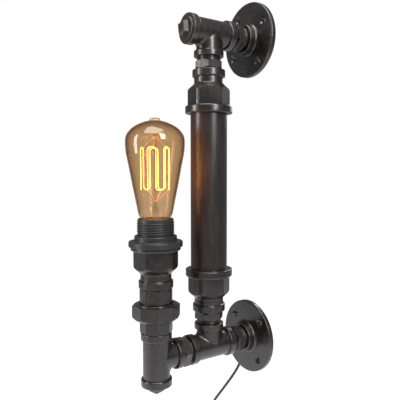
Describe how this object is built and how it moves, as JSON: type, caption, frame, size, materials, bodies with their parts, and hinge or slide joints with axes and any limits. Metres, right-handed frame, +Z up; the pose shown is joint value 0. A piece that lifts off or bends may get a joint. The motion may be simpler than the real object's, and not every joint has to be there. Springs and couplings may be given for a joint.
{
  "type": "pipe wall light",
  "caption": "Wall light of black pipe fittings: two wall flanges on tee arms, an upright pipe between them and an upright amber filament bulb on a swivelling union.",
  "frame": {"origin": "centre of the lower wall flange's back face, on the wall plane", "axes": "+Z up along the upright pipe, +Y into the wall, the lamp stands out towards -Y, +X to the right seen from the front"},
  "size_m": [0.1598, 0.1666, 0.6299],
  "materials": {
    "black_iron": "black lacquered cast iron with rubbed edges",
    "black_pipe": "black lacquered steel pipe",
    "phenolic": "black moulded phenolic",
    "ceramic": "white glazed",
    "brass": "plain brass",
    "wire_steel": "bright wire",
    "solder": "soft solder",
    "black_glass": "black vitreous insulator",
    "amber_glass": "amber tinted clear glass",
    "stem_glass": "clear glass",
    "filament": "lit filament wire",
    "cord_sheath": "black sheath",
    "live_insulation": "brown insulation",
    "neutral_insulation": "blue insulation",
    "copper": "bare tinned copper strands"
  },
  "bodies": {
    "root": {"lower_flange": "black_iron", "upper_flange": "black_iron", "lower_rear_nipple": "black_iron", "upper_rear_nipple": "black_iron", "lower_tee": "black_iron", "upper_tee": "black_iron", "upper_plug": "black_iron", "lower_upright_nipple": "black_iron", "upper_upright_nipple": "black_iron", "lower_coupling": "black_iron", "upper_coupling": "black_iron", "main_pipe": "black_pipe", "lower_front_nipple": "black_iron", "front_tee": "black_iron", "foot_plug": "black_iron", "front_close_nipple": "black_iron", "union_lower_half": "black_iron", "supply_cord": "cord_sheath", "free_lead": "cord_sheath", "lead_live_core": "live_insulation", "lead_neutral_core": "neutral_insulation", "lead_live_tip": "copper", "lead_neutral_tip": "copper"},
    "nut": {"union_nut": "black_iron"},
    "lamp_head": {"union_upper_half": "black_iron", "head_close_nipple": "black_iron", "holder_coupling": "black_iron", "lampholder_base": "phenolic", "lampholder_sleeve": "phenolic", "contact_platform": "ceramic", "screw_shell": "brass", "centre_contact": "brass", "live_terminal": "brass", "neutral_terminal": "brass", "live_terminal_screw": "wire_steel", "neutral_terminal_screw": "wire_steel", "live_core": "live_insulation", "neutral_core": "neutral_insulation"},
    "ring": {"shade_ring": "phenolic"},
    "bulb_carrier": {"bulb_contact": "solder"},
    "bulb": {"bulb_glass": "amber_glass", "bulb_cap": "brass", "cap_insulator": "black_glass", "glass_stem": "stem_glass", "filament": "filament", "upper_hooks": "wire_steel", "lower_hooks": "wire_steel", "left_lead_wire": "wire_steel", "right_lead_wire": "wire_steel"}
  },
  "joints": [
    {"name": "union_nut_turn", "type": "hinge", "parent": "root", "child": "nut", "pos_m": [0, -0.1345, 0], "axis": [0, 0, 1], "continuous": true},
    {"name": "union_swivel", "type": "hinge", "parent": "root", "child": "lamp_head", "pos_m": [0, -0.1345, 0], "axis": [0, 0, 1], "range_deg": [-180, 180]},
    {"name": "shade_ring_travel", "type": "slide", "parent": "lamp_head", "child": "ring", "axis": [0, 0, 1], "range_m": [0, 0.015]},
    {"name": "bulb_lift", "type": "slide", "parent": "lamp_head", "child": "bulb_carrier", "axis": [0, 0, 1], "range_m": [0, 0.0109]},
    {"name": "bulb_turn", "type": "hinge", "parent": "bulb_carrier", "child": "bulb", "pos_m": [0, -0.1345, 0], "axis": [0, 0, 1], "range_deg": [0, 1080]}
  ],
  "couplings": [
    {"joint": "bulb_lift", "follows": "bulb_turn", "m_per_rad": 0.00057757}
  ]
}
